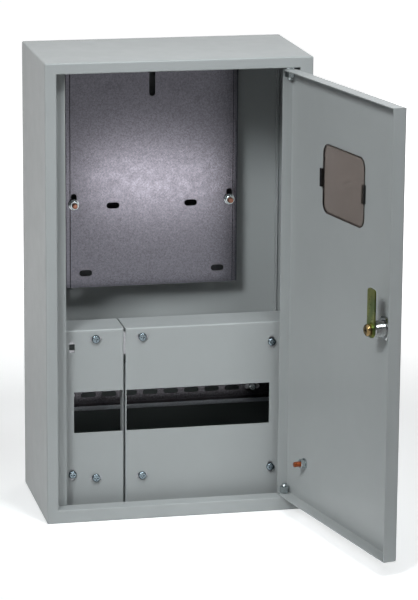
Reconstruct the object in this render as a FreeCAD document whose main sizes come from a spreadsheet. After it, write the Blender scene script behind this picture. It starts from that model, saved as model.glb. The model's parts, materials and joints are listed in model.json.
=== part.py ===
import FreeCAD, Part
import math
import os
from types import SimpleNamespace

import Sketcher

# Wall-mounted electric meter box: a welded sheet-steel case with a meter panel above,
# two covers over a module rail below, and a hinged door with a window and a cam lock.
# Frame: x to the right, y to the rear, z up. Origin at the centre of the underside.
# The door and what it carries are drawn closed, from the hinge axis, and then turned open.

os.makedirs("parts", exist_ok=True)

# Driving dimensions in millimetres, angles in degrees.
SIZES = {
    # case
    "case_width": 310.0,
    "case_height": 540.0,
    "case_depth": 165.0,
    "case_sheet": 1.2,
    "case_bend": 2.0,
    "frame_left": 13.5,
    "frame_right": 15.5,
    "frame_top": 13.0,
    "frame_bottom": 16.0,
    "frame_bend": 1.4,
    "jamb_depth": 17.4,
    "stop_width": 12.5,
    # rear panel and cable entries
    "rear_lip": 1.2,
    "rear_flange": 12.0,
    "rear_bend": 1.0,
    "wall_hole_dia": 8.0,
    "wall_hole_span": 150.0,
    "wall_hole_inset": 45.0,
    "entry_dia": 28.0,
    "entry_pitch": 75.0,
    "entry_back": 32.0,
    "entry_groove": 1.0,
    "entry_groove_depth": 0.7,
    # meter panel
    "panel_offset": -3.7,
    "panel_standoff": 20.8,
    "panel_sheet": 1.2,
    "panel_width": 209.0,
    "panel_rim": 6.5,
    "panel_step": 0.8,
    "panel_above_covers": 23.5,
    "panel_below_top": 28.0,
    "panel_bend": 1.8,
    "meter_slot_length": 15.5,
    "meter_slot_width": 7.5,
    "mid_slot_span": 94.0,
    "mid_slot_rise": 98.5,
    "low_slot_inset": 18.0,
    "low_slot_rise": 17.5,
    "top_slot_inset": 6.0,
    "top_slot_length": 32.0,
    "top_slot_width": 7.2,
    "stud_inset": 4.0,
    "stud_rise": 101.1,
    "stud_slot_play": 1.0,
    "stud_slot_travel": 9.7,
    "stud_tip": 4.0,
    # screw-thread families
    "thread_gap": 0.05,
    "big_thread_dia": 6.0,
    "big_nut_flats": 10.0,
    "big_nut_height": 5.0,
    "big_washer_dia": 12.5,
    "big_washer_thick": 1.6,
    "small_thread_dia": 5.0,
    "small_head_dia": 9.6,
    "small_head_height": 3.4,
    "small_head_round": 2.0,
    "small_nut_flats": 8.0,
    "small_nut_height": 4.0,
    "recess_length": 5.2,
    "recess_width": 1.3,
    "recess_depth": 1.7,
    "tip_chamfer": 0.7,
    # covers
    "cover_inset": 33.0,
    "cover_sheet": 1.2,
    "cover_bend": 2.0,
    "cover_top": 222.0,
    "cover_bottom": 6.0,
    "cover_flange": 48.0,
    "cover_lip": 15.0,
    "cover_lip_below_top": 43.0,
    "cover_side_gap": 2.0,
    "split_from_left": 97.5,
    "split_gap": 2.0,
    "cutout_left_inset": 36.3,
    "cutout_right_inset": 37.8,
    "cutout_height": 49.5,
    "module_above_middle": 9.2,
    "cover_slot_length": 14.5,
    "cover_slot_play": 1.4,
    "cover_screw_length": 12.0,
    "left_near_inset": 33.0,
    "right_near_inset": 20.0,
    "near_below_top": 11.0,
    "near_above_foot": 37.0,
    "left_edge_inset": 34.3,
    "left_edge_below_top": 20.0,
    "left_edge_above_foot": 42.5,
    "right_edge_inset": 35.8,
    "right_edge_below_top": 24.5,
    "right_edge_above_foot": 38.5,
    # cover supports
    "support_sheet": 1.5,
    "support_tab": 25.0,
    "support_below_top": 3.0,
    "support_height": 27.0,
    "support_square": 7.0,
    "bracket_height": 58.0,
    "bracket_foot": 24.0,
    "bracket_split": 8.0,
    "bracket_side_gap": 18.0,
    # module rail
    "rail_inset": 100.0,
    "rail_end_gap": 18.8,
    "rail_end_land": 10.0,
    "rail_height": 35.0,
    "rail_channel": 27.0,
    "rail_depth": 7.5,
    "rail_sheet": 1.0,
    "rail_slot_length": 18.0,
    "rail_slot_width": 6.2,
    "rail_slot_pitch": 25.0,
    "rail_bracket_width": 20.0,
    "rail_bracket_foot": 18.0,
    "rail_bracket_height": 24.0,
    # hinges
    "hinge_nut_side_gap": 0.53,
    "hinge_gap": 2.6,
    "free_gap": 2.0,
    "door_gap": 2.0,
    "hinge_run": 0.08,
    "hinge_nut_gap": 0.3,
    "hinge_nut_height": 8.0,
    "hinge_tip": 3.0,
    "hinge_head_height": 4.0,
    # door
    "door_open": 102.0,
    "door_sheet": 1.2,
    "door_stop_gap": 1.0,
    "hinge_flange": 13.2,
    "hinge_relief": 2.5,
    "door_bend": 2.5,
    "window_from_hinge": 134.0,
    "window_below_top": 112.0,
    "window_width": 102.0,
    "window_height": 80.0,
    "window_corner": 12.0,
    "window_bezel": 5.0,
    "window_bezel_thick": 2.0,
    "window_wall": 1.6,
    "window_fit": 0.15,
    "window_rise": 0.6,
    "clip_height": 21.0,
    "clip_hook": 2.2,
    "clip_rise": 3.4,
    # lock
    "lock_from_edge": 33.0,
    "lock_above_middle": 4.0,
    "barrel_dia": 18.0,
    "barrel_reach": 19.2,
    "barrel_fit": 0.2,
    "lock_head_dia": 24.0,
    "lock_head_thick": 2.5,
    "lock_head_round": 1.2,
    "lock_nut_flats": 25.0,
    "lock_nut_height": 4.5,
    "plug_dia": 12.0,
    "plug_run": 0.08,
    "plug_sunk": 0.2,
    "plug_shoulder": 0.3,
    "key_slot_length": 7.0,
    "key_slot_width": 1.4,
    "key_slot_depth": 1.5,
    "square_size": 8.0,
    "square_fit": 0.05,
    "cam_length": 46.0,
    "cam_tail": 9.0,
    "cam_width": 17.0,
    "cam_thick": 2.0,
    "cam_corner": 4.0,
    "cam_tail_land": 1.0,
    "cam_washer_dia": 16.0,
    "cam_washer_thick": 1.2,
    "cam_screw_head_dia": 14.0,
    "cam_screw_head_height": 5.0,
    "cam_screw_round": 3.0,
    "cam_screw_length": 10.0,
    "cam_recess_length": 7.0,
    # door earth stud
    "earth_from_hinge": 48.0,
    "earth_above_foot": 48.0,
    "earth_length": 14.5,
}

ENTRIES = (-1, 0, 1)
SIDES = (-1, 1)


def value_of(item):
    return item.value if isinstance(item, Size) else float(item)


def formula_of(item):
    return item.formula if isinstance(item, Size) else f"({float(item)!r})"


class Size:
    """A number together with the sheet formula that gives it."""

    def __init__(self, value, formula):
        self.value = value
        self.formula = formula

    def __add__(self, other):
        return Size(self.value + value_of(other), f"({self.formula} + {formula_of(other)})")

    def __sub__(self, other):
        return Size(self.value - value_of(other), f"({self.formula} - {formula_of(other)})")

    def __rsub__(self, other):
        return Size(value_of(other) - self.value, f"({formula_of(other)} - {self.formula})")

    def __mul__(self, other):
        return Size(self.value * value_of(other), f"({self.formula} * {formula_of(other)})")

    def __truediv__(self, other):
        return Size(self.value / value_of(other), f"({self.formula} / {formula_of(other)})")

    def __neg__(self):
        return Size(-self.value, f"(0 - {self.formula})")

    __radd__ = __add__
    __rmul__ = __mul__


doc = FreeCAD.newDocument("meter_box")
sheet = doc.addObject("Spreadsheet::Sheet", "sizes")
for row, (name, number) in enumerate(SIZES.items(), 1):
    sheet.set(f"A{row}", name)
    sheet.set(f"B{row}", str(number))
    sheet.setAlias(f"B{row}", name)
doc.recompute()
s = SimpleNamespace(**{name: Size(number, f"sizes.{name}") for name, number in SIZES.items()})

# Places that several pieces share.
FRONT = -s.case_depth / 2
REAR = s.case_depth / 2
REAR_INNER = REAR - s.case_sheet
WALL_LEFT = -s.case_width / 2 + s.case_sheet
WALL_RIGHT = s.case_width / 2 - s.case_sheet
TRAY_LEFT = WALL_LEFT + s.rear_lip
TRAY_RIGHT = WALL_RIGHT - s.rear_lip
TRAY_LOW = s.case_sheet + s.rear_lip
TRAY_HIGH = s.case_height - s.case_sheet - s.rear_lip
OPEN_LEFT = -s.case_width / 2 + s.frame_left
OPEN_RIGHT = s.case_width / 2 - s.frame_right
OPEN_LOW = s.frame_bottom
OPEN_HIGH = s.case_height - s.frame_top
BIG_NUT_CORNER = s.big_nut_flats / math.sqrt(3)
PIN_INSET = s.door_sheet + BIG_NUT_CORNER + s.hinge_nut_side_gap
HINGE_X = OPEN_RIGHT - s.hinge_gap - PIN_INSET
HINGE_Y = FRONT + PIN_INSET
PANEL_FACE = REAR_INNER - s.panel_standoff
PANEL_LOW = s.cover_top + s.panel_above_covers
PANEL_HIGH = s.case_height - s.panel_below_top
PANEL_FLAT = s.panel_width / 2 - s.panel_rim
COVER_FACE = FRONT + s.cover_inset
SPLIT = -s.case_width / 2 + s.split_from_left
LEFT_NEAR = SPLIT - s.split_gap / 2 - s.left_near_inset
RIGHT_NEAR = SPLIT + s.split_gap / 2 + s.right_near_inset
NEAR_HIGH = s.cover_top - s.near_below_top
NEAR_LOW = s.cover_bottom + s.near_above_foot
LEFT_EDGE = WALL_LEFT + s.left_edge_inset
LEFT_EDGE_HIGH = s.cover_top - s.left_edge_below_top
LEFT_EDGE_LOW = s.cover_bottom + s.left_edge_above_foot
RIGHT_EDGE = WALL_RIGHT - s.right_edge_inset
RIGHT_EDGE_HIGH = s.cover_top - s.right_edge_below_top
RIGHT_EDGE_LOW = s.cover_bottom + s.right_edge_above_foot
MODULE_HEIGHT = (s.cover_top + s.cover_bottom) / 2 + s.module_above_middle
SUPPORT_FACE = COVER_FACE + s.cover_sheet
RAIL_FACE = FRONT + s.rail_inset
RAIL_WEB = RAIL_FACE + s.rail_depth - s.rail_sheet
RAIL_BACK = RAIL_FACE + s.rail_depth
RAIL_HALF = WALL_RIGHT - s.rail_end_gap
# The rail has as many slots as its length takes.
RAIL_SLOTS = int(value_of(2 * (RAIL_HALF - s.rail_end_land) / s.rail_slot_pitch))
RAIL_FIX = s.rail_slot_pitch * (RAIL_SLOTS - 1) / 2

# Places on the door, from the hinge axis, with the door closed.
DOOR_RIGHT = PIN_INSET
DOOR_LEFT = OPEN_LEFT + s.free_gap - HINGE_X
DOOR_FACE = -PIN_INSET
DOOR_INNER = DOOR_FACE + s.door_sheet
DOOR_LOW = OPEN_LOW + s.door_gap
DOOR_HIGH = OPEN_HIGH - s.door_gap
WINDOW_X = DOOR_RIGHT - s.window_from_hinge
WINDOW_Z = DOOR_HIGH - s.window_below_top
LOCK_X = DOOR_LEFT + s.lock_from_edge
LOCK_Z = (DOOR_LOW + DOOR_HIGH) / 2 + s.lock_above_middle
EARTH_X = DOOR_RIGHT - s.earth_from_hinge
EARTH_Z = DOOR_LOW + s.earth_above_foot
CAM_FRONT = DOOR_FACE + s.barrel_reach + s.plug_shoulder
CAM_BACK = CAM_FRONT + s.cam_thick

LEFT_SCREWS = [
    (LEFT_NEAR, NEAR_HIGH),
    (LEFT_NEAR, NEAR_LOW),
    (LEFT_EDGE, LEFT_EDGE_LOW),
]
RIGHT_SCREWS = [
    (RIGHT_NEAR, NEAR_HIGH),
    (RIGHT_NEAR, NEAR_LOW),
    (RIGHT_EDGE, RIGHT_EDGE_HIGH),
    (RIGHT_EDGE, RIGHT_EDGE_LOW),
]
STUD_PLACE = PANEL_FLAT - s.stud_inset
PANEL_STUDS = [(s.panel_offset + side * STUD_PLACE, PANEL_LOW + s.stud_rise) for side in SIDES]
RAIL_SCREWS = [(side * RAIL_FIX, MODULE_HEIGHT) for side in SIDES]

BODIES = []


def bind(item, prop, size):
    item.setExpression(prop, size.formula if isinstance(size, Size) else formula_of(size))


def new_body(label):
    body = doc.addObject("PartDesign::Body", label)
    body.Label = label
    body.AllowCompound = True
    BODIES.append(body)
    return body


def new_door_body(label):
    """A body drawn from the hinge axis and turned open with the door."""
    body = new_body(label)
    body.Placement = FreeCAD.Placement(
        FreeCAD.Vector(0, 0, 0), FreeCAD.Rotation(FreeCAD.Vector(0, 0, 1), SIZES["door_open"])
    )
    bind(body, "Placement.Base.x", HINGE_X)
    bind(body, "Placement.Base.y", HINGE_Y)
    bind(body, "Placement.Rotation.Angle", s.door_open)
    return body


class Drawing:
    """A fully bound sketch on one of a body's origin planes, at a given place along its normal."""

    def __init__(self, body, plane, place):
        self.sketch = body.newObject("Sketcher::SketchObject", body.Label + "_sketch")
        origin_plane = next(f for f in body.Origin.OriginFeatures if f.Role == plane)
        self.sketch.AttachmentSupport = [(origin_plane, "")]
        self.sketch.MapMode = "FlatFace"
        # The XZ plane's normal points to the front.
        along_normal = -place if plane == "XZ_Plane" else place
        bind(self.sketch, "AttachmentOffset.Base.z", along_normal)

    def _size(self, kind, *where, size):
        index = self.sketch.addConstraint(Sketcher.Constraint(kind, *where, value_of(size)))
        bind(self.sketch, f"Constraints[{index}]", size)

    def _pin(self, geometry, point, u, v):
        self._size("DistanceX", -1, 1, geometry, point, size=u)
        self._size("DistanceY", -1, 1, geometry, point, size=v)

    def polygon(self, points):
        corners = [FreeCAD.Vector(value_of(u), value_of(v), 0) for u, v in points]
        count = len(corners)
        lines = [
            self.sketch.addGeometry(Part.LineSegment(corners[i], corners[(i + 1) % count]))
            for i in range(count)
        ]
        for i in range(count):
            join = Sketcher.Constraint("Coincident", lines[i], 2, lines[(i + 1) % count], 1)
            self.sketch.addConstraint(join)
            self._pin(lines[i], 1, *points[i])
        return self

    def rectangle(self, u0, u1, v0, v1):
        return self.polygon([(u0, v0), (u1, v0), (u1, v1), (u0, v1)])

    def hexagon(self, u, v, flats):
        corner = flats / math.sqrt(3)
        turns = [math.radians(60 * i) for i in range(6)]
        return self.polygon([(u + corner * math.cos(a), v + corner * math.sin(a)) for a in turns])

    def circle(self, u, v, diameter):
        centre = FreeCAD.Vector(value_of(u), value_of(v), 0)
        ring = Part.Circle(centre, FreeCAD.Vector(0, 0, 1), value_of(diameter) / 2)
        index = self.sketch.addGeometry(ring)
        self._pin(index, 3, u, v)
        self._size("Diameter", index, size=diameter)
        return self

    def slot(self, u, v, length, width, upright=False):
        """A slot with round ends; length is measured from end to end."""
        reach = (length - width) / 2
        ends = [(u, v + reach), (u, v - reach)] if upright else [(u + reach, v), (u - reach, v)]
        start = 0.0 if upright else -math.pi / 2
        radius = value_of(width) / 2
        arcs = []
        for turn, (cu, cv) in enumerate(ends):
            centre = FreeCAD.Vector(value_of(cu), value_of(cv), 0)
            ring = Part.Circle(centre, FreeCAD.Vector(0, 0, 1), radius)
            first = start + turn * math.pi
            arcs.append(self.sketch.addGeometry(Part.ArcOfCircle(ring, first, first + math.pi)))
        for a, b in ((0, 1), (1, 0)):
            begin = self.sketch.getPoint(arcs[a], 2)
            end = self.sketch.getPoint(arcs[b], 1)
            side = self.sketch.addGeometry(Part.LineSegment(begin, end))
            self.sketch.addConstraint(Sketcher.Constraint("Tangent", side, 1, arcs[a], 2))
            self.sketch.addConstraint(Sketcher.Constraint("Tangent", side, 2, arcs[b], 1))
        for arc, (cu, cv) in zip(arcs, ends):
            self._pin(arc, 3, cu, cv)
        self.sketch.addConstraint(Sketcher.Constraint("Equal", arcs[0], arcs[1]))
        self._size("Diameter", arcs[0], size=width)
        return self


def extrude(body, plane, start, end, draw, cut=False):
    """Add or cut a prism between two places along a plane's axis; draw fills its sketch."""
    drawing = Drawing(body, plane, start)
    draw(drawing)
    feature = body.newObject("PartDesign::Pocket" if cut else "PartDesign::Pad", body.Label + "_step")
    feature.Profile = drawing.sketch
    bind(feature, "Length", end - start)
    # A pad follows the sketch's normal and a pocket goes against it.
    towards_normal = plane != "XZ_Plane"
    feature.Reversed = towards_normal if cut else not towards_normal
    doc.recompute()
    return feature


def add(body, plane, start, end, draw):
    return extrude(body, plane, start, end, draw)


def cut(body, plane, start, end, draw):
    before = body.Shape.Volume
    feature = extrude(body, plane, start, end, draw, cut=True)
    if not body.Shape.Volume < before:
        raise RuntimeError(f"a cut in {body.Label} removes nothing")
    return feature


def picked_edges(body, pick):
    return [f"Edge{i}" for i, edge in enumerate(body.Tip.Shape.Edges, 1) if pick(edge.BoundBox)]


def round_edges(body, radius, pick, kind="PartDesign::Fillet", prop="Radius"):
    """Round the edges whose bounding box the pick function accepts."""
    base = body.Tip
    names = picked_edges(body, pick)
    if not names:
        raise RuntimeError(f"no edge to round in {body.Label}")
    feature = body.newObject(kind, body.Label + "_edge")
    feature.Base = (base, names)
    bind(feature, prop, radius)
    doc.recompute()
    return feature


def chamfer_edges(body, size, pick):
    return round_edges(body, size, pick, "PartDesign::Chamfer", "Size")


def same(number, size):
    return abs(number - value_of(size)) < 1e-3


def flat_y(box, place):
    return same(box.YMin, place) and same(box.YMax, place)


def flat_z(box, place):
    return same(box.ZMin, place) and same(box.ZMax, place)


def flat_x(box, place):
    return same(box.XMin, place) and same(box.XMax, place)


def circles(places, diameter):
    def draw(drawing):
        for u, v in places:
            drawing.circle(u, v, diameter)
    return draw


def rings(places, outer, inner):
    def draw(drawing):
        for u, v in places:
            drawing.circle(u, v, outer)
            drawing.circle(u, v, inner)
    return draw


def nuts(places, flats, bore):
    def draw(drawing):
        for u, v in places:
            drawing.hexagon(u, v, flats)
            drawing.circle(u, v, bore)
    return draw


def bars(places, across, along):
    def draw(drawing):
        for u, v in places:
            drawing.rectangle(u - across / 2, u + across / 2, v - along / 2, v + along / 2)
    return draw


def cross_recess(body, places, face, length, width, depth):
    """Cross recess in screw heads whose outer face looks to the front."""
    cut(body, "XZ_Plane", face, face + depth, bars(places, length, width))
    cut(body, "XZ_Plane", face, face + depth, bars(places, width, length))


# Case


def make_case_shell():
    body = new_body("case_shell")
    half = s.case_width / 2
    add(body, "XZ_Plane", FRONT, REAR, lambda d: d.rectangle(-half, half, 0.0, s.case_height))
    round_edges(body, s.case_bend, lambda b: True)
    cut(body, "XZ_Plane", FRONT + s.case_sheet, REAR_INNER, lambda d: d.rectangle(
        WALL_LEFT, WALL_RIGHT, s.case_sheet, s.case_height - s.case_sheet))
    cut(body, "XZ_Plane", REAR_INNER, REAR, lambda d: d.rectangle(
        TRAY_LEFT, TRAY_RIGHT, TRAY_LOW, TRAY_HIGH))
    cut(body, "XZ_Plane", FRONT, FRONT + s.case_sheet, lambda d: d.rectangle(
        OPEN_LEFT, OPEN_RIGHT, OPEN_LOW, OPEN_HIGH))

    def jamb(drawing):
        t = s.case_sheet
        drawing.rectangle(OPEN_LEFT - t, OPEN_RIGHT + t, OPEN_LOW - t, OPEN_HIGH + t)
        drawing.rectangle(OPEN_LEFT, OPEN_RIGHT, OPEN_LOW, OPEN_HIGH)

    stop_face = FRONT + s.jamb_depth
    stop_back = stop_face + s.case_sheet
    add(body, "XZ_Plane", FRONT + s.case_sheet, stop_back, jamb)

    def stops(drawing):
        drawing.rectangle(OPEN_LEFT, OPEN_LEFT + s.stop_width, OPEN_LOW, OPEN_HIGH)
        drawing.rectangle(OPEN_RIGHT - s.stop_width, OPEN_RIGHT, OPEN_LOW, OPEN_HIGH)

    add(body, "XZ_Plane", stop_face, stop_back, stops)
    round_edges(body, s.frame_bend, lambda b: flat_y(b, FRONT) and (
        flat_x(b, OPEN_LEFT) or flat_x(b, OPEN_RIGHT) or flat_z(b, OPEN_LOW) or flat_z(b, OPEN_HIGH)))
    bolt_hole = circles([(HINGE_X, HINGE_Y)], s.big_thread_dia + 2 * s.thread_gap)
    cut(body, "XY_Plane", OPEN_HIGH, OPEN_HIGH + s.case_sheet, bolt_hole)
    cut(body, "XY_Plane", OPEN_LOW - s.case_sheet, OPEN_LOW, bolt_hole)
    entries = [(side * s.entry_pitch, s.entry_back) for side in ENTRIES]
    cut(body, "XY_Plane", 0.0, s.entry_groove_depth, rings(
        entries, s.entry_dia, s.entry_dia - 2 * s.entry_groove))


def make_rear_panel():
    body = new_body("rear_panel")
    t = s.case_sheet
    front = REAR - s.rear_flange
    add(body, "XZ_Plane", front, REAR, lambda d: d.rectangle(TRAY_LEFT, TRAY_RIGHT, TRAY_LOW, TRAY_HIGH))
    round_edges(body, s.rear_bend, lambda b: flat_y(b, REAR))
    cut(body, "XZ_Plane", front, REAR_INNER, lambda d: d.rectangle(
        TRAY_LEFT + t, TRAY_RIGHT - t, TRAY_LOW + t, TRAY_HIGH - t))
    heights = (s.wall_hole_inset, s.case_height - s.wall_hole_inset)
    wall_holes = [(side * s.wall_hole_span / 2, height) for side in SIDES for height in heights]
    cut(body, "XZ_Plane", REAR_INNER, REAR, circles(wall_holes, s.wall_hole_dia))


# Meter panel


def make_meter_panel():
    body = new_body("meter_panel")
    t = s.panel_sheet
    half = s.panel_width / 2
    flat = PANEL_FLAT
    slope = s.panel_step
    # The sheet's inner line is set in where the slope turns by 45 degrees.
    turn = t * math.tan(math.radians(22.5))
    rim_face = PANEL_FACE + s.panel_step
    right = [
        (flat, PANEL_FACE),
        (flat + slope, rim_face),
        (half, rim_face),
        (half, REAR_INNER),
        (half - t, REAR_INNER),
        (half - t, rim_face + t),
        (flat + slope - turn, rim_face + t),
        (flat - turn, PANEL_FACE + t),
    ]
    left = [(-u, v) for u, v in reversed(right)]
    outline = [(u + s.panel_offset, v) for u, v in right + left]
    add(body, "XY_Plane", PANEL_LOW, PANEL_HIGH, lambda d: d.polygon(outline))
    round_edges(body, s.panel_bend, lambda b: flat_y(b, rim_face) and (
        flat_x(b, s.panel_offset - half) or flat_x(b, s.panel_offset + half)))

    pairs = [
        (s.mid_slot_span / 2, PANEL_LOW + s.mid_slot_rise),
        (PANEL_FLAT - s.low_slot_inset, PANEL_LOW + s.low_slot_rise),
    ]

    def meter_slots(drawing):
        for reach, height in pairs:
            for side in SIDES:
                place = s.panel_offset + side * reach
                drawing.slot(place, height, s.meter_slot_length, s.meter_slot_width)
        middle = PANEL_HIGH - s.top_slot_inset - s.top_slot_length / 2
        drawing.slot(s.panel_offset, middle, s.top_slot_length, s.top_slot_width, upright=True)

    def stud_slots(drawing):
        width = s.big_thread_dia + s.stud_slot_play
        length = s.stud_slot_travel + width
        for place, height in PANEL_STUDS:
            drawing.slot(place, height + s.stud_slot_travel / 2, length, width, upright=True)

    cut(body, "XZ_Plane", PANEL_FACE, PANEL_FACE + t, meter_slots)
    cut(body, "XZ_Plane", PANEL_FACE, PANEL_FACE + t, stud_slots)


def make_meter_panel_fixings():
    washer_face = PANEL_FACE - s.big_washer_thick
    nut_face = washer_face - s.big_nut_height
    tip = nut_face - s.stud_tip
    studs = new_body("meter_panel_studs")
    add(studs, "XZ_Plane", tip, REAR_INNER, circles(PANEL_STUDS, s.big_thread_dia))
    chamfer_edges(studs, s.tip_chamfer, lambda b: flat_y(b, tip))
    bore = s.big_thread_dia + 2 * s.thread_gap
    washers = new_body("meter_panel_washers")
    add(washers, "XZ_Plane", washer_face, PANEL_FACE, rings(PANEL_STUDS, s.big_washer_dia, bore))
    hex_nuts = new_body("meter_panel_nuts")
    add(hex_nuts, "XZ_Plane", nut_face, washer_face, nuts(PANEL_STUDS, s.big_nut_flats, bore))


# Covers and their supports


def make_cover(label, near, far, cutout_end, near_hole, edge_holes):
    """One cover, from its edge at the split (near) to its edge at the case wall (far)."""
    body = new_body(label)
    t = s.cover_sheet
    inward = 1 if value_of(far) > value_of(near) else -1
    low, high = (near, far) if inward > 0 else (far, near)
    back = COVER_FACE + s.cover_flange
    lip_face = near + inward * t
    beyond = far + inward * t
    add(body, "XZ_Plane", COVER_FACE, back, lambda d: d.rectangle(low, high, s.cover_bottom, s.cover_top))
    round_edges(body, s.cover_bend, lambda b: flat_y(b, COVER_FACE) and (
        flat_z(b, s.cover_top) or flat_x(b, near)))

    def span(drawing, first, last, z0, z1):
        left, right = (first, last) if inward > 0 else (last, first)
        drawing.rectangle(left, right, z0, z1)

    below = s.cover_bottom - t
    under_top = s.cover_top - t
    cut(body, "XZ_Plane", COVER_FACE + t, back, lambda d: span(d, lip_face, beyond, below, under_top))
    outside = near - inward * t
    cut(body, "XZ_Plane", COVER_FACE + s.cover_lip, back, lambda d: span(
        d, outside, lip_face, below, under_top))
    cut(body, "XZ_Plane", COVER_FACE + t, COVER_FACE + s.cover_lip, lambda d: span(
        d, outside, lip_face, s.cover_top - s.cover_lip_below_top, under_top))
    cutout_low = MODULE_HEIGHT - s.cutout_height / 2
    cutout_high = MODULE_HEIGHT + s.cutout_height / 2
    cut(body, "XZ_Plane", COVER_FACE, COVER_FACE + t, lambda d: span(
        d, lip_face, cutout_end, cutout_low, cutout_high))

    slot_width = s.small_thread_dia + s.cover_slot_play

    def screw_slots(drawing):
        for height in (NEAR_HIGH, NEAR_LOW):
            drawing.slot(near_hole, height, s.cover_slot_length, slot_width)
        for place, height in edge_holes:
            drawing.slot(place, height, s.cover_slot_length, slot_width, upright=True)

    cut(body, "XZ_Plane", COVER_FACE, COVER_FACE + t, screw_slots)


def make_covers():
    make_cover(
        "left_cover", SPLIT - s.split_gap / 2, WALL_LEFT + s.cover_side_gap, WALL_LEFT + s.cutout_left_inset,
        LEFT_NEAR, [(LEFT_EDGE, LEFT_EDGE_HIGH), (LEFT_EDGE, LEFT_EDGE_LOW)])
    make_cover(
        "right_cover", SPLIT + s.split_gap / 2, WALL_RIGHT - s.cover_side_gap,
        WALL_RIGHT - s.cutout_right_inset,
        RIGHT_NEAR, [(RIGHT_EDGE, RIGHT_EDGE_HIGH), (RIGHT_EDGE, RIGHT_EDGE_LOW)])


def make_screws(label, places, face, shank_length):
    """Pan-head cross-recess screws driven from the front into a face."""
    body = new_body(label)
    head = face - s.small_head_height
    add(body, "XZ_Plane", head, face, circles(places, s.small_head_dia))
    round_edges(body, s.small_head_round, lambda b: flat_y(b, head))
    add(body, "XZ_Plane", face, face + shank_length, circles(places, s.small_thread_dia))
    chamfer_edges(body, s.tip_chamfer, lambda b: flat_y(b, face + shank_length))
    cross_recess(body, places, head, s.recess_length, s.recess_width, s.recess_depth)


def make_cover_screws():
    make_screws("left_cover_screws", LEFT_SCREWS, COVER_FACE, s.cover_screw_length)
    make_screws("right_cover_screws", RIGHT_SCREWS, COVER_FACE, s.cover_screw_length)


def make_upper_support():
    """Strip across the case behind the tops of both covers, with a tab on each side wall."""
    body = new_body("upper_cover_support")
    t = s.support_sheet
    web_back = SUPPORT_FACE + t
    tab_end = SUPPORT_FACE + s.support_tab
    outline = [
        (WALL_LEFT, SUPPORT_FACE),
        (WALL_RIGHT, SUPPORT_FACE),
        (WALL_RIGHT, tab_end),
        (WALL_RIGHT - t, tab_end),
        (WALL_RIGHT - t, web_back),
        (WALL_LEFT + t, web_back),
        (WALL_LEFT + t, tab_end),
        (WALL_LEFT, tab_end),
    ]
    top = s.cover_top - s.cover_sheet - s.support_below_top
    add(body, "XY_Plane", top - s.support_height, top, lambda d: d.polygon(outline))
    round_edges(body, s.support_sheet, lambda b: flat_y(b, SUPPORT_FACE) and (
        flat_x(b, WALL_LEFT) or flat_x(b, WALL_RIGHT)))
    tapped = [(LEFT_NEAR, NEAR_HIGH), (RIGHT_NEAR, NEAR_HIGH), (RIGHT_EDGE, RIGHT_EDGE_HIGH)]
    bore = s.small_thread_dia + 2 * s.thread_gap
    cut(body, "XZ_Plane", SUPPORT_FACE, web_back, circles(tapped, bore))
    square = s.support_square
    cut(body, "XZ_Plane", SUPPORT_FACE, web_back, bars([(LEFT_EDGE, LEFT_EDGE_HIGH)], square, square))


def make_lower_bracket(label, left, right, tapped):
    """Angle bracket that stands on the case's floor behind the foot of a cover."""
    body = new_body(label)
    t = s.support_sheet
    floor = s.case_sheet
    outline = [
        (SUPPORT_FACE, floor),
        (SUPPORT_FACE + s.bracket_foot, floor),
        (SUPPORT_FACE + s.bracket_foot, floor + t),
        (SUPPORT_FACE + t, floor + t),
        (SUPPORT_FACE + t, floor + s.bracket_height),
        (SUPPORT_FACE, floor + s.bracket_height),
    ]
    add(body, "YZ_Plane", left, right, lambda d: d.polygon(outline))
    round_edges(body, t, lambda b: flat_y(b, SUPPORT_FACE) and flat_z(b, floor))
    bore = s.small_thread_dia + 2 * s.thread_gap
    cut(body, "XZ_Plane", SUPPORT_FACE, SUPPORT_FACE + t, circles(tapped, bore))


def make_lower_brackets():
    make_lower_bracket(
        "lower_left_bracket", WALL_LEFT + s.bracket_side_gap, SPLIT - s.bracket_split,
        [(LEFT_NEAR, NEAR_LOW), (LEFT_EDGE, LEFT_EDGE_LOW)])
    make_lower_bracket(
        "lower_right_bracket", SPLIT + s.bracket_split, WALL_RIGHT - s.bracket_side_gap,
        [(RIGHT_NEAR, NEAR_LOW), (RIGHT_EDGE, RIGHT_EDGE_LOW)])


# Module rail


def make_module_rail():
    body = new_body("module_rail")
    t = s.rail_sheet
    edge = s.rail_height / 2
    channel = s.rail_channel / 2
    upper = [
        (RAIL_FACE, channel - t),
        (RAIL_FACE, edge),
        (RAIL_FACE + t, edge),
        (RAIL_FACE + t, channel),
        (RAIL_BACK, channel),
    ]
    lower = [(u, -v) for u, v in reversed(upper)]
    web = [(RAIL_WEB, -channel + t), (RAIL_WEB, channel - t)]
    outline = [(u, MODULE_HEIGHT + v) for u, v in upper + lower + web]
    add(body, "YZ_Plane", -RAIL_HALF, RAIL_HALF, lambda d: d.polygon(outline))
    places = [s.rail_slot_pitch * (i - (RAIL_SLOTS - 1) / 2) for i in range(RAIL_SLOTS)]

    def slots(drawing):
        for place in places:
            drawing.slot(place, MODULE_HEIGHT, s.rail_slot_length, s.rail_slot_width)

    cut(body, "XZ_Plane", RAIL_WEB, RAIL_BACK, slots)


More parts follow.
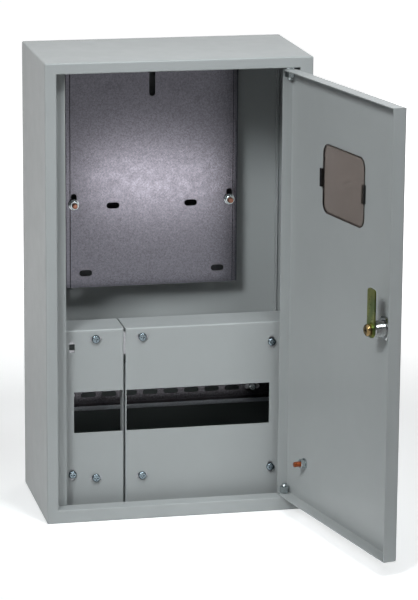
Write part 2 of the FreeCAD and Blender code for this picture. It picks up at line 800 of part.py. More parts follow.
def make_rail_brackets():
    """Two folded feet that carry the rail off the rear panel."""
    body = new_body("rail_brackets")
    t = s.support_sheet
    half = s.rail_bracket_width / 2

    def outlines(drawing):
        for side in SIDES:
            shape = [
                (RAIL_FIX - half, RAIL_BACK),
                (RAIL_FIX + half, RAIL_BACK),
                (RAIL_FIX + half, REAR_INNER - t),
                (RAIL_FIX + half + s.rail_bracket_foot, REAR_INNER - t),
                (RAIL_FIX + half + s.rail_bracket_foot, REAR_INNER),
                (RAIL_FIX + half - t, REAR_INNER),
                (RAIL_FIX + half - t, RAIL_BACK + t),
                (RAIL_FIX - half, RAIL_BACK + t),
            ]
            drawing.polygon([(side * u, v) for u, v in shape])

    low = MODULE_HEIGHT - s.rail_bracket_height / 2
    add(body, "XY_Plane", low, low + s.rail_bracket_height, outlines)
    bore = s.small_thread_dia + 2 * s.thread_gap
    cut(body, "XZ_Plane", RAIL_BACK, RAIL_BACK + t, circles(RAIL_SCREWS, bore))


def make_rail_fixings():
    nut_face = RAIL_BACK + s.support_sheet
    nut_back = nut_face + s.small_nut_height
    grip = s.rail_sheet + s.support_sheet + s.small_nut_height + s.tip_chamfer
    make_screws("rail_screws", RAIL_SCREWS, RAIL_WEB, grip)
    body = new_body("rail_nuts")
    bore = s.small_thread_dia + 2 * s.thread_gap
    add(body, "XZ_Plane", nut_face, nut_back, nuts(RAIL_SCREWS, s.small_nut_flats, bore))


# Hinges


def make_hinges():
    axis = [(HINGE_X, HINGE_Y)]
    bore = s.big_thread_dia + 2 * s.thread_gap
    top_head = OPEN_HIGH + s.case_sheet
    low_head = OPEN_LOW - s.case_sheet
    low_nut = DOOR_LOW + s.door_sheet + s.hinge_nut_gap
    top_nut = DOOR_HIGH - s.door_sheet - s.hinge_nut_gap
    low_tip = low_nut + s.hinge_nut_height + s.hinge_tip
    top_tip = top_nut - s.hinge_nut_height - s.hinge_tip

    def heads(drawing):
        drawing.hexagon(*axis[0], s.big_nut_flats)

    bolts = new_body("hinge_bolts")
    add(bolts, "XY_Plane", top_head, top_head + s.hinge_head_height, heads)
    add(bolts, "XY_Plane", top_tip, top_head, circles(axis, s.big_thread_dia))
    add(bolts, "XY_Plane", low_head - s.hinge_head_height, low_head, heads)
    add(bolts, "XY_Plane", low_head, low_tip, circles(axis, s.big_thread_dia))
    chamfer_edges(bolts, s.tip_chamfer, lambda b: flat_z(b, top_tip) or flat_z(b, low_tip))

    washers = new_body("hinge_washers")
    disc = rings(axis, s.big_washer_dia, bore)
    add(washers, "XY_Plane", OPEN_HIGH - s.big_washer_thick, OPEN_HIGH, disc)
    add(washers, "XY_Plane", OPEN_LOW, OPEN_LOW + s.big_washer_thick, disc)

    lock_nuts = new_body("hinge_nuts")
    hexagon = nuts(axis, s.big_nut_flats, bore)
    add(lock_nuts, "XY_Plane", top_nut - s.hinge_nut_height, top_nut, hexagon)
    add(lock_nuts, "XY_Plane", low_nut, low_nut + s.hinge_nut_height, hexagon)


# Door


def make_door_panel():
    body = new_door_body("door_panel")
    t = s.door_sheet
    tip = DOOR_FACE + s.jamb_depth - s.door_stop_gap
    add(body, "XZ_Plane", DOOR_FACE, tip, lambda d: d.rectangle(
        DOOR_LEFT, DOOR_RIGHT, DOOR_LOW, DOOR_HIGH))
    round_edges(body, s.door_bend, lambda b: flat_y(b, DOOR_FACE))
    cut(body, "XZ_Plane", DOOR_INNER, tip, lambda d: d.rectangle(
        DOOR_LEFT + t, DOOR_RIGHT - t, DOOR_LOW + t, DOOR_HIGH - t))
    cut(body, "XZ_Plane", DOOR_FACE + s.hinge_flange, tip, lambda d: d.rectangle(
        -s.hinge_relief, DOOR_RIGHT, DOOR_LOW, DOOR_HIGH))
    half_w = s.window_width / 2
    half_h = s.window_height / 2
    cut(body, "XZ_Plane", DOOR_FACE, DOOR_INNER, lambda d: d.rectangle(
        WINDOW_X - half_w, WINDOW_X + half_w, WINDOW_Z - half_h, WINDOW_Z + half_h))
    round_edges(body, s.window_corner, lambda b: same(b.YMin, DOOR_FACE) and same(b.YMax, DOOR_INNER) and (
        flat_x(b, WINDOW_X - half_w) or flat_x(b, WINDOW_X + half_w)))
    cut(body, "XZ_Plane", DOOR_FACE, DOOR_INNER, circles(
        [(LOCK_X, LOCK_Z)], s.barrel_dia + 2 * s.barrel_fit))
    pin_hole = circles([(0.0, 0.0)], s.big_thread_dia + 2 * s.hinge_run)
    cut(body, "XY_Plane", DOOR_HIGH - t, DOOR_HIGH, pin_hole)
    cut(body, "XY_Plane", DOOR_LOW, DOOR_LOW + t, pin_hole)


def make_door_window():
    """Smoked pane with a rim outside the door, a wall through it and two clips inside."""
    body = new_door_body("door_window")
    middle = WINDOW_Z
    half_w = s.window_width / 2 - s.window_fit
    half_h = s.window_height / 2 - s.window_fit
    wall = s.window_wall
    outer = s.window_bezel + s.window_fit
    pane = DOOR_FACE - s.window_bezel_thick
    rise = DOOR_INNER + s.window_rise

    def frame(drawing, grow):
        left, right = WINDOW_X - half_w - grow, WINDOW_X + half_w + grow
        drawing.rectangle(left, right, middle - half_h - grow, middle + half_h + grow)

    def corners(grow):
        return lambda b: same(b.ZMin, b.ZMax) and (
            flat_x(b, WINDOW_X - half_w - grow) or flat_x(b, WINDOW_X + half_w + grow))

    add(body, "XZ_Plane", pane, DOOR_FACE, lambda d: frame(d, outer))
    round_edges(body, s.window_corner + outer, corners(outer))
    add(body, "XZ_Plane", DOOR_FACE, rise, lambda d: frame(d, 0.0))
    cut(body, "XZ_Plane", DOOR_FACE, rise, lambda d: frame(d, -wall))
    round_edges(body, s.window_corner - wall, corners(-wall))
    round_edges(body, s.window_corner, corners(0.0))
    hook = s.window_fit + s.clip_hook
    half_clip = s.clip_height / 2

    def clips(drawing):
        for side in SIDES:
            root = WINDOW_X + side * (half_w - wall)
            end = WINDOW_X + side * (half_w + hook)
            left, right = (root, end) if side > 0 else (end, root)
            drawing.rectangle(left, right, middle - half_clip, middle + half_clip)

    add(body, "XZ_Plane", DOOR_INNER, DOOR_INNER + s.clip_rise, clips)


def make_door_lock():
    axis = [(LOCK_X, LOCK_Z)]
    head_face = DOOR_FACE - s.lock_head_thick
    barrel_end = DOOR_FACE + s.barrel_reach
    bore = s.plug_dia + 2 * s.plug_run

    barrel = new_door_body("lock_barrel")
    add(barrel, "XZ_Plane", head_face, DOOR_FACE, circles(axis, s.lock_head_dia))
    round_edges(barrel, s.lock_head_round, lambda b: flat_y(b, head_face))
    add(barrel, "XZ_Plane", DOOR_FACE, barrel_end, circles(axis, s.barrel_dia))
    chamfer_edges(barrel, s.tip_chamfer, lambda b: flat_y(b, barrel_end))
    cut(barrel, "XZ_Plane", head_face, barrel_end, circles(axis, bore))

    nut = new_door_body("lock_nut")
    nut_back = DOOR_INNER + s.lock_nut_height
    add(nut, "XZ_Plane", DOOR_INNER, nut_back, nuts(axis, s.lock_nut_flats, s.barrel_dia + 2 * s.thread_gap))

    plug = new_door_body("lock_plug")
    plug_face = head_face + s.plug_sunk
    add(plug, "XZ_Plane", plug_face, CAM_FRONT, circles(axis, s.plug_dia))
    square = s.square_size
    add(plug, "XZ_Plane", CAM_FRONT, CAM_BACK, bars(axis, square, square))
    screw_hole = s.big_thread_dia + 2 * s.thread_gap
    screw_end = CAM_BACK + s.cam_washer_thick - s.cam_screw_length
    cut(plug, "XZ_Plane", screw_end, CAM_BACK, circles(axis, screw_hole))
    cut(plug, "XZ_Plane", plug_face, plug_face + s.key_slot_depth, bars(
        axis, s.key_slot_width, s.key_slot_length))

    cam = new_door_body("lock_cam")
    half = s.cam_width / 2
    add(cam, "XZ_Plane", CAM_FRONT, CAM_BACK, lambda d: d.rectangle(
        LOCK_X - half, LOCK_X + half, LOCK_Z - s.cam_tail, LOCK_Z + s.cam_length))

    def corners(height):
        return lambda b: flat_z(b, height) and same(b.YMin, CAM_FRONT) and same(b.YMax, CAM_BACK)

    round_edges(cam, s.cam_corner, corners(LOCK_Z + s.cam_length))
    round_edges(cam, (s.cam_width - s.cam_tail_land) / 2, corners(LOCK_Z - s.cam_tail))
    hole = s.square_size + 2 * s.square_fit
    cut(cam, "XZ_Plane", CAM_FRONT, CAM_BACK, bars(axis, hole, hole))

    washer = new_door_body("cam_washer")
    washer_back = CAM_BACK + s.cam_washer_thick
    add(washer, "XZ_Plane", CAM_BACK, washer_back, rings(axis, s.cam_washer_dia, screw_hole))

    screw = new_door_body("cam_screw")
    head_back = washer_back + s.cam_screw_head_height
    add(screw, "XZ_Plane", washer_back, head_back, circles(axis, s.cam_screw_head_dia))
    round_edges(screw, s.cam_screw_round, lambda b: flat_y(b, head_back))
    add(screw, "XZ_Plane", screw_end, washer_back, circles(axis, s.big_thread_dia))
    recess = head_back - s.recess_depth
    cut(screw, "XZ_Plane", recess, head_back, bars(axis, s.cam_recess_length, s.recess_width))
    cut(screw, "XZ_Plane", recess, head_back, bars(axis, s.recess_width, s.cam_recess_length))


def make_door_earth():
    axis = [(EARTH_X, EARTH_Z)]
    bore = s.big_thread_dia + 2 * s.thread_gap
    tip = DOOR_INNER + s.earth_length
    washer_back = DOOR_INNER + s.big_washer_thick
    stud = new_door_body("door_earth_stud")
    add(stud, "XZ_Plane", DOOR_INNER, tip, circles(axis, s.big_thread_dia))
    chamfer_edges(stud, s.tip_chamfer, lambda b: flat_y(b, tip))
    washer = new_door_body("door_earth_washer")
    add(washer, "XZ_Plane", DOOR_INNER, washer_back, rings(axis, s.big_washer_dia, bore))
    nut = new_door_body("door_earth_nut")
    add(nut, "XZ_Plane", washer_back, washer_back + s.big_nut_height, nuts(axis, s.big_nut_flats, bore))


def check_document():
    doc.recompute()
    for item in doc.Objects:
        if "Invalid" in item.State or "Error" in item.State:
            raise RuntimeError(f"{item.Name} failed: {item.State}")
    for body in BODIES:
        if body.Shape.isNull() or not body.Shape.isValid() or not body.Shape.Solids:
            raise RuntimeError(f"{body.Label} has no valid shape")


make_case_shell()
make_rear_panel()
make_meter_panel()
make_meter_panel_fixings()
make_covers()
make_cover_screws()
make_upper_support()
make_lower_brackets()
make_module_rail()
make_rail_brackets()
make_rail_fixings()
make_hinges()
make_door_panel()
make_door_window()
make_door_lock()
make_door_earth()
check_document()
for body in BODIES:
    body.Shape.exportStep(f"parts/{body.Label}.step")
    print(body.Label, len(body.Shape.Solids), round(body.Shape.Volume, 1))
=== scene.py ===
import json
import math

import bmesh
import bpy
from mathutils import Matrix, Vector


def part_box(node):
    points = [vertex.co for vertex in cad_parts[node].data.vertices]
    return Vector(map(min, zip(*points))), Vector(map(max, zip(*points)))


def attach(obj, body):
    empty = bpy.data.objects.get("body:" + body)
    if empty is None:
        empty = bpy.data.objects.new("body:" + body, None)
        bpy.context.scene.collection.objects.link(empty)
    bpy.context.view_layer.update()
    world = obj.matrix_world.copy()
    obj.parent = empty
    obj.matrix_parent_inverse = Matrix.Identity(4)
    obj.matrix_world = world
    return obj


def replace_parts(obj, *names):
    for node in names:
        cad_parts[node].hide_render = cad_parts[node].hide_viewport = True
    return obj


# Looks for the electric meter box: a finish for each CAD node, chamfered nuts and threads,
# a pale floor, studio light and the photograph's camera. Lengths are in metres.

# Photograph's camera, with angles in degrees.
CAMERA_PLACE = (-0.6871, -3.3367, 1.0895)
CAMERA_YAW = -12.51
CAMERA_PITCH = -13.98
CAMERA_ROLL = 0.44
FOCAL_PIXELS = 2982.4
FRAME_LONG_SIDE = 600
SENSOR_MM = 36.0
CLIP_END = 100.0

# Tints of the lamps.
WHITE = (1.0, 1.0, 1.0)
COOL = (0.93, 0.98, 1.0)
WARM = (1.0, 0.97, 0.93)
ROSE = (1.0, 0.96, 0.96)

# Floor: its glow rises with the distance from the box, and drops in a patch that the meter panel mirrors.
FLOOR_SIZE = 24.0
FLOOR_COLOUR = (0.9, 0.9, 0.9)
ORIGIN = (0.0, 0.0, 0.0)
GLOW_NEAR = 0.42
GLOW_FAR = 0.97
GLOW_START = 0.45
GLOW_END = 1.2
DIM_PLACE = (0.5, -2.6, 0.0)
DIM_DROP = -0.75
DIM_START = 0.2
DIM_END = 1.7

# World: ambient light, and the backdrop's level by the direction's Y, from front to back.
AMBIENT_COLOUR = (0.97, 0.985, 1.0)
AMBIENT_LEVEL = 0.02
BACKDROP_LEVELS = {"From Min": -0.9, "From Max": 0.3, "To Min": 0.3, "To Max": 1.0}

# Where a noise pattern turns from its dark to its light end.
NOISE_LOW = 0.3
NOISE_HIGH = 0.7

# Powder coat, and painted shade on the rear wall behind the covers, a guess at the deep shade there.
COAT = (0.395, 0.41, 0.41)
COAT_MOTTLE = 0.025
COAT_CLOUD = 0.05
PAINTED_SHADE_COLOUR = (0.09, 0.1, 0.097)
PAINTED_SHADE_TOP = 0.18
PAINTED_SHADE_FADE_TOP = 0.205
REAR_SHEET = 0.0012
SHEET_MARGIN = 0.0001

# Module rail: painted shade in the web, a painted highlight on the brims.
RAIL_WEB_PAINTED_SHADE = (0.05, 0.043, 0.049)
RAIL_BRIM_PAINTED_HIGHLIGHT = (0.86, 0.9, 0.95)
RAIL_SHEET = 0.001
RAIL_STEP = 0.8
RAIL_GRAIN = 0.08

# Window: tint of the pane, and painted shade on the deep rim round it.
WINDOW_TINT = (0.108, 0.094, 0.086)
WINDOW_RIM_PAINTED_SHADE = (0.012, 0.01, 0.009)
WINDOW_CLOUD = 0.06
WINDOW_PANE = 0.002
WINDOW_EDGE = 0.0002

# Nuts and threads.
NUT_STEPS = 72
NUT_FACE = 0.96
NUT_SLOPE = math.tan(math.radians(30.0))
HEX_SIDE = math.pi / 3
BORE_CHAMFER = 0.0004
THREAD_PITCH = 0.001
THREAD_DEPTH = 0.00025
THREAD_HALF = 0.00042
THREAD_LAND = 0.000025
THREAD_STEPS = 24
RUN_OUT_STEPS = 12
THREAD_END = 0.0006
SPLIT_MARGIN = 0.0006

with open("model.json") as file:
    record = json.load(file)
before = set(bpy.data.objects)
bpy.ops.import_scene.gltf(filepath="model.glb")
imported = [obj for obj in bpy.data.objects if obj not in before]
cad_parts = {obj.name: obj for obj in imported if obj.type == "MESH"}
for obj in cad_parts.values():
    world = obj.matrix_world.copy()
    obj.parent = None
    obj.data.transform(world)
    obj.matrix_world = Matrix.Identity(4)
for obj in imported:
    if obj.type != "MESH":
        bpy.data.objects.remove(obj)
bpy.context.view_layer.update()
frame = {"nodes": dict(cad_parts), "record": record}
SLOTS = {subpart["node"]: subpart["material_slot"] for subpart in frame["record"]["subparts"]}


class Finish:
    """A node-based material around one principled shader."""

    def __init__(self, name, colour, metallic, roughness):
        self.material = bpy.data.materials.new(name)
        self.material.use_nodes = True
        self.tree = self.material.node_tree
        self.shader = self.tree.nodes["Principled BSDF"]
        self.colour = colour
        self.roughness = roughness
        self.shader.inputs["Metallic"].default_value = metallic
        self.place = self.add("ShaderNodeTexCoord").outputs["Object"]

    def add(self, kind, **inputs):
        """A new node, with its inputs linked or set."""
        node = self.tree.nodes.new(kind)
        for name, value in inputs.items():
            socket = node.inputs[name.replace("_", " ")]
            if isinstance(value, bpy.types.NodeSocket):
                self.tree.links.new(value, socket)
            else:
                socket.default_value = value
        return node

    def link(self, output, name):
        self.tree.links.new(output, self.shader.inputs[name])

    def noise(self, scale, detail=3.0):
        node = self.add("ShaderNodeTexNoise", Vector=self.place, Scale=scale, Detail=detail)
        return node.outputs["Fac"]

    def ramp(self, fac, low, high, dark, light):
        """A value turned into a colour between two stops."""
        node = self.add("ShaderNodeValToRGB", Fac=fac)
        stops = node.color_ramp.elements
        stops[0].position, stops[1].position = low, high
        stops[0].color = (*dark, 1.0)
        stops[1].color = (*light, 1.0)
        return node.outputs["Color"]

    def span(self, fac, low, high, start=0.0, end=1.0):
        """A value that goes smoothly from low to high as fac goes from start to end."""
        ends = {"From_Min": start, "From_Max": end, "To_Min": low, "To_Max": high}
        node = self.add("ShaderNodeMapRange", Value=fac, **ends)
        node.interpolation_type = "SMOOTHSTEP"
        return node.outputs["Result"]

    def along(self, axis):
        """Each place's X, Y or Z."""
        return self.add("ShaderNodeSeparateXYZ", Vector=self.place).outputs[axis]

    def measure(self, operation, vector):
        """Each place's DISTANCE from a point, or its DOT_PRODUCT with a direction."""
        node = self.add("ShaderNodeVectorMath")
        node.operation = operation
        self.tree.links.new(self.place, node.inputs[0])
        node.inputs[1].default_value = vector
        return node.outputs["Value"]

    def mottle(self, fac, amount):
        """The finish's colour, a little darker and lighter by turns."""
        dark = [c * (1 - amount) for c in self.colour]
        light = [c * (1 + amount) for c in self.colour]
        self.link(self.ramp(fac, NOISE_LOW, NOISE_HIGH, dark, light), "Base Color")

    def rough(self, fac, amount):
        """The finish's roughness, a little less and more by turns."""
        self.link(self.span(fac, self.roughness - amount, self.roughness + amount), "Roughness")

    def bump(self, height, strength, distance):
        node = self.add("ShaderNodeBump", Height=height, Strength=strength, Distance=distance)
        self.link(node.outputs["Normal"], "Normal")


def join(tree, operation, first, second):
    """Two values joined by a sum, product or the like."""
    node = tree.nodes.new("ShaderNodeMath")
    node.operation = operation
    tree.links.new(first, node.inputs[0])
    tree.links.new(second, node.inputs[1])
    return node.outputs[0]


def seen_rays(tree):
    """One for rays that look at the surface, straight or by way of metal and glass, and else zero."""
    path = tree.nodes.new("ShaderNodeLightPath").outputs
    through = join(tree, "MAXIMUM", path["Is Glossy Ray"], path["Is Transmission Ray"])
    return join(tree, "MAXIMUM", path["Is Camera Ray"], through)


def lock_inward():
    """The way from the door's face into the box, along the lock's axis."""
    joints = {joint["name"]: joint for joint in frame["record"]["behaviour"]["joints"]}
    return -Vector(joints["lock_turn"]["axis"])


def coat(name):
    """Sheen and fine orange peel of powder coat, with no colour yet."""
    finish = Finish(name, COAT, metallic=0.0, roughness=0.42)
    finish.shader.inputs["Specular IOR Level"].default_value = 0.35
    finish.rough(finish.noise(scale=60.0), amount=0.06)
    finish.bump(finish.noise(scale=1400.0, detail=2.0), strength=0.12, distance=0.0002)
    return finish


def powder_coat():
    finish = coat("grey_powder_coat")
    finish.mottle(finish.noise(scale=9.0, detail=5.0), COAT_MOTTLE)
    return finish.material


def rear_wall_coat_and_painted_shade():
    """Powder coat outside and above the covers, and painted shade, a darker colour, inside behind them."""
    finish = coat("rear_wall_coat_and_painted_shade")
    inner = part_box("rear_panel")[1][1] - REAR_SHEET
    full = 1 - COAT_CLOUD
    # Painted shade: low down and inside the rear sheet, the colour turns dark.
    above = finish.span(finish.along("Z"), 0.0, full, PAINTED_SHADE_TOP, PAINTED_SHADE_FADE_TOP)
    outside = finish.span(finish.along("Y"), 0.0, full, inner + SHEET_MARGIN, inner + 3 * SHEET_MARGIN)
    cloud = finish.span(finish.noise(scale=9.0, detail=5.0), 0.0, COAT_CLOUD)
    shade = join(finish.tree, "ADD", join(finish.tree, "MAXIMUM", above, outside), cloud)
    light = [c * (1 + COAT_MOTTLE) for c in COAT]
    finish.link(finish.ramp(shade, 0.0, 1.0, PAINTED_SHADE_COLOUR, light), "Base Color")
    return finish.material


def galvanised(name, colour, roughness, grain_depth):
    """Zinc-coated sheet with a fine, slightly raised grain."""
    finish = Finish(name, colour, metallic=1.0, roughness=roughness)
    grain = finish.noise(scale=540.0, detail=5.0)
    finish.mottle(grain, amount=0.2)
    finish.rough(finish.noise(scale=120.0), amount=0.03)
    finish.bump(grain, grain_depth, distance=0.0002)
    return finish.material


def rail_painted_shade_and_highlight():
    """Galvanised steel with painted shade in the rail's web and a painted highlight on its brims, which
    stand forward of it.
    """
    finish = Finish("rail_painted_shade_and_highlight", RAIL_WEB_PAINTED_SHADE, metallic=1.0, roughness=0.2)
    grain = finish.noise(scale=540.0, detail=5.0)
    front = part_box("module_rail")[0][1]
    # Painted shade and highlight: dark in the web, bright on the brims in front of it.
    brim = finish.span(finish.along("Y"), RAIL_STEP, 0.0, front + RAIL_SHEET, front + 2 * RAIL_SHEET)
    speckle = finish.span(grain, 0.0, RAIL_GRAIN, NOISE_LOW, NOISE_HIGH)
    shade = join(finish.tree, "ADD", brim, speckle)
    finish.link(finish.ramp(shade, 0.0, RAIL_STEP + RAIL_GRAIN, RAIL_WEB_PAINTED_SHADE, RAIL_BRIM_PAINTED_HIGHLIGHT), "Base Color")
    finish.rough(finish.noise(scale=120.0), amount=0.03)
    finish.bump(grain, strength=0.02, distance=0.0002)
    return finish.material


def plated(name, colour, roughness, ripple=0.08):
    """Plated metal, a little uneven."""
    finish = Finish(name, colour, metallic=1.0, roughness=roughness)
    finish.mottle(finish.noise(scale=160.0), amount=0.08)
    finish.rough(finish.noise(scale=420.0), amount=0.06)
    finish.bump(finish.noise(scale=500.0), ripple, distance=0.0002)
    return finish.material


def yellow_zinc(name, dull, bright, roughness):
    """Passivated zinc, which drifts between two tints."""
    finish = Finish(name, bright, metallic=1.0, roughness=roughness)
    drift = finish.noise(scale=45.0, detail=2.0)
    finish.link(finish.ramp(drift, low=0.35, high=0.65, dark=dull, light=bright), "Base Color")
    finish.rough(finish.noise(scale=300.0), amount=0.06)
    finish.bump(finish.noise(scale=900.0), strength=0.08, distance=0.0001)
    return finish.material


def smoked_plastic():
    """Tinted plastic, with painted shade on the rim: darker where the eye looks into its depth than through
    the pane.
    """
    finish = Finish("smoked_plastic", WINDOW_TINT, metallic=0.0, roughness=0.08)
    finish.shader.inputs["Transmission Weight"].default_value = 1.0
    finish.shader.inputs["IOR"].default_value = 1.49
    inward = lock_inward()
    outside = min(v.co.dot(inward) for v in frame["nodes"]["door_window"].data.vertices)
    pane = outside + WINDOW_PANE
    height = finish.measure("DOT_PRODUCT", inward)
    # Painted shade: past the pane's depth, the rim turns almost black.
    rim = finish.span(height, 0.0, 1 - WINDOW_CLOUD, pane, pane + WINDOW_EDGE)
    cloud = finish.span(finish.noise(scale=14.0), 0.0, WINDOW_CLOUD)
    shade = join(finish.tree, "ADD", rim, cloud)
    finish.link(finish.ramp(shade, 0.0, 1.0, WINDOW_TINT, WINDOW_RIM_PAINTED_SHADE), "Base Color")
    finish.rough(finish.noise(scale=40.0), amount=0.03)
    return finish.material


def slot_finishes():
    """The usual finish of each material slot."""
    sheet = galvanised("galvanised_steel", (0.14, 0.138, 0.16), roughness=0.16, grain_depth=0.06)
    cam = yellow_zinc("yellow_zinc", dull=(0.15, 0.22, 0.09), bright=(0.36, 0.36, 0.12), roughness=0.3)
    return {
        "grey_powder_coat": powder_coat(),
        "galvanised_steel": sheet,
        "zinc_plate": plated("zinc_plate", (0.45, 0.49, 0.5), roughness=0.22),
        "copper_plate": plated("copper_plate", (0.29, 0.078, 0.03), roughness=0.3),
        "chrome_plate": plated("chrome_plate", (0.36, 0.37, 0.37), roughness=0.2, ripple=0.5),
        "yellow_zinc": cam,
        "smoked_plastic": smoked_plastic(),
    }


def node_finishes():
    """The nodes that differ from the usual finish of their slot."""
    cover_screw = plated("blue_zinc", (0.22, 0.27, 0.3), roughness=0.2)
    bracket = galvanised("bracket_steel", (0.4, 0.4, 0.42), roughness=0.32, grain_depth=0.03)
    cam_screw = yellow_zinc("bronze_zinc", dull=(0.16, 0.11, 0.05), bright=(0.4, 0.29, 0.14), roughness=0.16)
    return {
        "upper_cover_support": bracket,
        "lower_left_bracket": bracket,
        "lower_right_bracket": bracket,
        "rail_brackets": bracket,
        "left_cover_screws": cover_screw,
        "right_cover_screws": cover_screw,
        "meter_panel_studs": plated("pale_copper", (0.40, 0.19, 0.13), roughness=0.3),
        "module_rail": rail_painted_shade_and_highlight(),
        "rear_panel": rear_wall_coat_and_painted_shade(),
        "cam_screw": cam_screw,
    }


def dress_nodes():
    """Gives every CAD node its finish."""
    by_slot = slot_finishes()
    by_node = node_finishes()
    for node, slot in SLOTS.items():
        mesh = frame["nodes"][node].data
        mesh.materials.clear()
        mesh.materials.append(by_node.get(node) or by_slot[slot])


class Turned:
    """Axis, ends and radii of a nut or stud, read from its CAD points."""

    def __init__(self, points, axis):
        self.axis = axis
        self.side = axis.orthogonal().normalized()
        self.up = axis.cross(self.side)
        heights = [p.dot(axis) for p in points]
        self.low, self.high = min(heights), max(heights)
        self.centre = self.middle(points, self.side) + self.middle(points, self.up)
        arms = [p - axis * p.dot(axis) - self.centre for p in points]
        longest = max(arms, key=lambda arm: arm.length)
        self.reach = longest.length
        self.bore = min(arm.length for arm in arms)
        self.side = longest.normalized()
        self.up = axis.cross(self.side)

    @staticmethod
    def middle(points, way):
        places = [p.dot(way) for p in points]
        return way * (min(places) + max(places)) / 2

    def at(self, angle, radius, height):
        """The point at an angle, a radius and a height on the axis."""
        arm = self.side * math.cos(angle) + self.up * math.sin(angle)
        return self.centre + self.axis * height + arm * radius


def turned_pieces(name, axes):
    """The solids of a CAD node, one for each axis, in order along its longest side."""
    node = frame["nodes"][name]
    points = [node.matrix_world @ v.co for v in node.data.vertices]
    low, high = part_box(name)
    side = max(range(3), key=lambda i: high[i] - low[i])
    share = (high[side] - low[side]) / len(axes)
    found = []
    for i, axis in enumerate(axes):
        start = low[side] + i * share
        near = [p for p in points if start - SPLIT_MARGIN <= p[side] <= start + share + SPLIT_MARGIN]
        found.append(Turned(near, axis))
    return found


def closed_rings(shape, rings, looped):
    """Skins rings of points, each with the same count, into a closed form."""
    rows = [[shape.verts.new(point) for point in ring] for ring in rings]
    pairs = list(zip(rows, rows[1:]))
    if looped:
        pairs.append((rows[-1], rows[0]))
    else:
        shape.faces.new(reversed(rows[0]))
        shape.faces.new(rows[-1])
    for first, second in pairs:
        for i, vert in enumerate(first):
            j = (i + 1) % len(first)
            shape.faces.new((vert, first[j], second[j], second[i]))


def add_nut(shape, nut):
    """A hexagon nut with both faces turned to a cone at the corners and the bore eased."""
    flat = nut.reach * math.cos(HEX_SIDE / 2)
    face = flat * NUT_FACE
    mouth = nut.bore + BORE_CHAMFER
    rings = []
    for step in range(NUT_STEPS):
        angle = 2 * math.pi * step / NUT_STEPS
        wall = flat / math.cos(angle % HEX_SIDE - HEX_SIDE / 2)
        drop = (wall - face) * NUT_SLOPE
        profile = [
            (nut.bore, nut.low + BORE_CHAMFER),
            (mouth, nut.low),
            (face, nut.low),
            (wall, nut.low + drop),
            (wall, nut.high - drop),
            (face, nut.high),
            (mouth, nut.high),
            (nut.bore, nut.high - BORE_CHAMFER),
        ]
        rings.append([nut.at(angle, radius, height) for radius, height in profile])
    closed_rings(shape, rings, looped=True)


def add_thread(shape, shank, radius, start, end):
    """A helical ridge that runs out at both ends."""
    steps = int((end - start) / THREAD_PITCH * THREAD_STEPS)
    root = radius - THREAD_DEPTH / 2
    rings = []
    for step in range(steps + 1):
        angle = 2 * math.pi * step / THREAD_STEPS
        height = start + THREAD_PITCH * step / THREAD_STEPS
        rise = THREAD_DEPTH * min(1.0, step / RUN_OUT_STEPS, (steps - step) / RUN_OUT_STEPS)
        rings.append([
            shank.at(angle, root, height - THREAD_HALF),
            shank.at(angle, root + THREAD_LAND + rise, height),
            shank.at(angle, root, height + THREAD_HALF),
        ])
    closed_rings(shape, rings, looped=False)


def finish_piece(name, shape, body, node):
    """A new piece on a body, with the finish of the CAD node that it dresses."""
    bmesh.ops.recalc_face_normals(shape, faces=shape.faces)
    mesh = bpy.data.meshes.new(name)
    shape.to_mesh(mesh)
    shape.free()
    piece = bpy.data.objects.new(name, mesh)
    bpy.context.collection.objects.link(piece)
    mesh.materials.append(frame["nodes"][node].data.materials[0])
    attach(piece, body)
    return piece


def dress_fastening(nut_node, shank_node, axes, body):
    """Chamfered nuts in place of the plain ones, and threads on what stands out of them."""
    nuts = turned_pieces(nut_node, axes)
    shanks = turned_pieces(shank_node, axes)
    nut_shape = bmesh.new()
    thread_shape = bmesh.new()
    for nut, shank in zip(nuts, shanks):
        add_nut(nut_shape, nut)
        add_thread(thread_shape, shank, nut.bore, nut.high + THREAD_PITCH / 2, shank.high - THREAD_END)
    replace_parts(finish_piece(nut_node + "_chamfered", nut_shape, body, nut_node), nut_node)
    finish_piece(shank_node + "_thread", thread_shape, body, shank_node)


def dress_fastenings():
    inward = lock_inward()
    front = Vector((0.0, -1.0, 0.0))
    up = Vector((0.0, 0.0, 1.0))
    dress_fastening("meter_panel_nuts", "meter_panel_studs", [front, front], "case")
    dress_fastening("hinge_nuts", "hinge_bolts", [up, -up], "case")
    dress_fastening("door_earth_nut", "door_earth_stud", [inward], "door")
    dress_fastening("lock_nut", "lock_barrel", [inward], "door")


def floor_finish():
    """Pale and matt, whiter away from the box and dimmer where the meter panel mirrors it."""
    finish = Finish("floor", FLOOR_COLOUR, metallic=0.0, roughness=0.9)
    finish.mottle(finish.noise(scale=0.7), amount=0.01)
    finish.rough(finish.noise(scale=3.0), amount=0.05)
    around = finish.span(finish.measure("DISTANCE", ORIGIN), GLOW_NEAR, GLOW_FAR, GLOW_START, GLOW_END)
    dim = finish.span(finish.measure("DISTANCE", DIM_PLACE), DIM_DROP, 0.0, DIM_START, DIM_END)
    glow = join(finish.tree, "ADD", around, dim)
    finish.shader.inputs["Emission Color"].default_value = (*WHITE, 1.0)
    finish.link(join(finish.tree, "MULTIPLY", glow, seen_rays(finish.tree)), "Emission Strength")
    return finish.material


def make_floor():
    """A floor that takes the object's shadow."""
    bpy.ops.mesh.primitive_plane_add(size=FLOOR_SIZE, location=ORIGIN)
    floor = bpy.context.object
    floor.name = "floor"
    floor.data.materials.append(floor_finish())


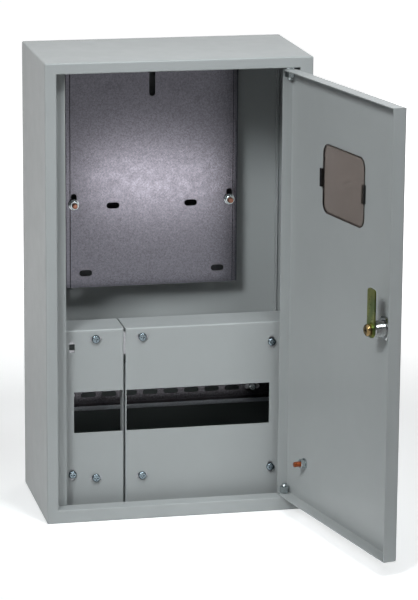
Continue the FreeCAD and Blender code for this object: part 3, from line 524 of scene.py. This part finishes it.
def make_backdrop(tree):
    """A white background that pales from front to back."""
    backdrop = tree.nodes.new("ShaderNodeBackground")
    backdrop.inputs["Color"].default_value = (*WHITE, 1.0)
    direction = tree.nodes.new("ShaderNodeTexCoord").outputs["Generated"]
    parts = tree.nodes.new("ShaderNodeSeparateXYZ")
    tree.links.new(direction, parts.inputs["Vector"])
    pale = tree.nodes.new("ShaderNodeMapRange")
    for name, value in BACKDROP_LEVELS.items():
        pale.inputs[name].default_value = value
    tree.links.new(parts.outputs["Y"], pale.inputs["Value"])
    tree.links.new(pale.outputs["Result"], backdrop.inputs["Strength"])
    return backdrop.outputs["Background"]


def make_world():
    """Dim light from all round, with a backdrop for rays that look past the floor."""
    world = bpy.data.worlds.new("studio")
    bpy.context.scene.world = world
    world.use_nodes = True
    tree = world.node_tree
    ambient = tree.nodes["Background"]
    ambient.inputs["Color"].default_value = (*AMBIENT_COLOUR, 1.0)
    ambient.inputs["Strength"].default_value = AMBIENT_LEVEL
    blend = tree.nodes.new("ShaderNodeMixShader")
    tree.links.new(seen_rays(tree), blend.inputs["Fac"])
    tree.links.new(ambient.outputs["Background"], blend.inputs[1])
    tree.links.new(make_backdrop(tree), blend.inputs[2])
    tree.links.new(blend.outputs["Shader"], tree.nodes["World Output"].inputs["Surface"])


def area_light(name, place, aim, size, power, colour, spread=180.0):
    """A square lamp turned towards a point, with its power in watts and its spread in degrees."""
    data = bpy.data.lights.new(name, "AREA")
    data.size = size
    data.energy = power
    data.color = colour
    data.spread = math.radians(spread)
    light = bpy.data.objects.new(name, data)
    light.location = place
    light.rotation_euler = (Vector(aim) - Vector(place)).to_track_quat("-Z", "Y").to_euler()
    light.visible_camera = False
    bpy.context.collection.objects.link(light)
    return data


def make_lights():
    area_light("left_key", place=(-0.9, -1.3, 1.5), aim=(0.1, -0.1, 0.3),
               size=0.5, power=2.75, colour=COOL, spread=60.0)
    area_light("left_side", place=(-1.3, -0.7, 1.5), aim=(0.0, 0.0, 0.3),
               size=0.5, power=0.3, colour=WARM, spread=60.0)
    area_light("right_key", place=(0.4, -1.2, 2.1), aim=(0.0, -0.05, 0.35),
               size=0.4, power=2.0, colour=COOL, spread=60.0)
    area_light("high_front", place=(0.1, -0.8, 2.6), aim=(0.0, -0.05, 0.24),
               size=0.4, power=0.42, colour=COOL, spread=40.0)
    area_light("back_fill", place=(1.6, 2.0, 0.75), aim=(0.0, 0.0, 0.3),
               size=1.2, power=24.0, colour=WHITE)
    make_spark()


def make_spark():
    """A low, narrow lamp whose mirror image is the bright spot on the meter panel."""
    spark = area_light("low_spark", place=(0.29, -1.4, 0.066), aim=(0.0, 0.06, 0.37),
                       size=0.2, power=0.0026, colour=ROSE, spread=16.0)
    spark.shape = "RECTANGLE"
    spark.size_y = 0.06


def make_camera():
    data = bpy.data.cameras.new("photo_camera")
    data.sensor_width = SENSOR_MM
    data.lens = FOCAL_PIXELS / FRAME_LONG_SIDE * SENSOR_MM
    data.clip_end = CLIP_END
    camera = bpy.data.objects.new("photo_camera", data)
    turn = Matrix.Rotation(math.radians(CAMERA_YAW), 4, "Z")
    tilt = Matrix.Rotation(math.radians(90.0 + CAMERA_PITCH), 4, "X")
    roll = Matrix.Rotation(math.radians(CAMERA_ROLL), 4, "Z")
    camera.matrix_world = Matrix.Translation(CAMERA_PLACE) @ turn @ tilt @ roll
    bpy.context.collection.objects.link(camera)
    bpy.context.scene.camera = camera


dress_nodes()
dress_fastenings()
make_floor()
make_world()
make_lights()
make_camera()
bpy.context.scene.view_settings.view_transform = "Standard"
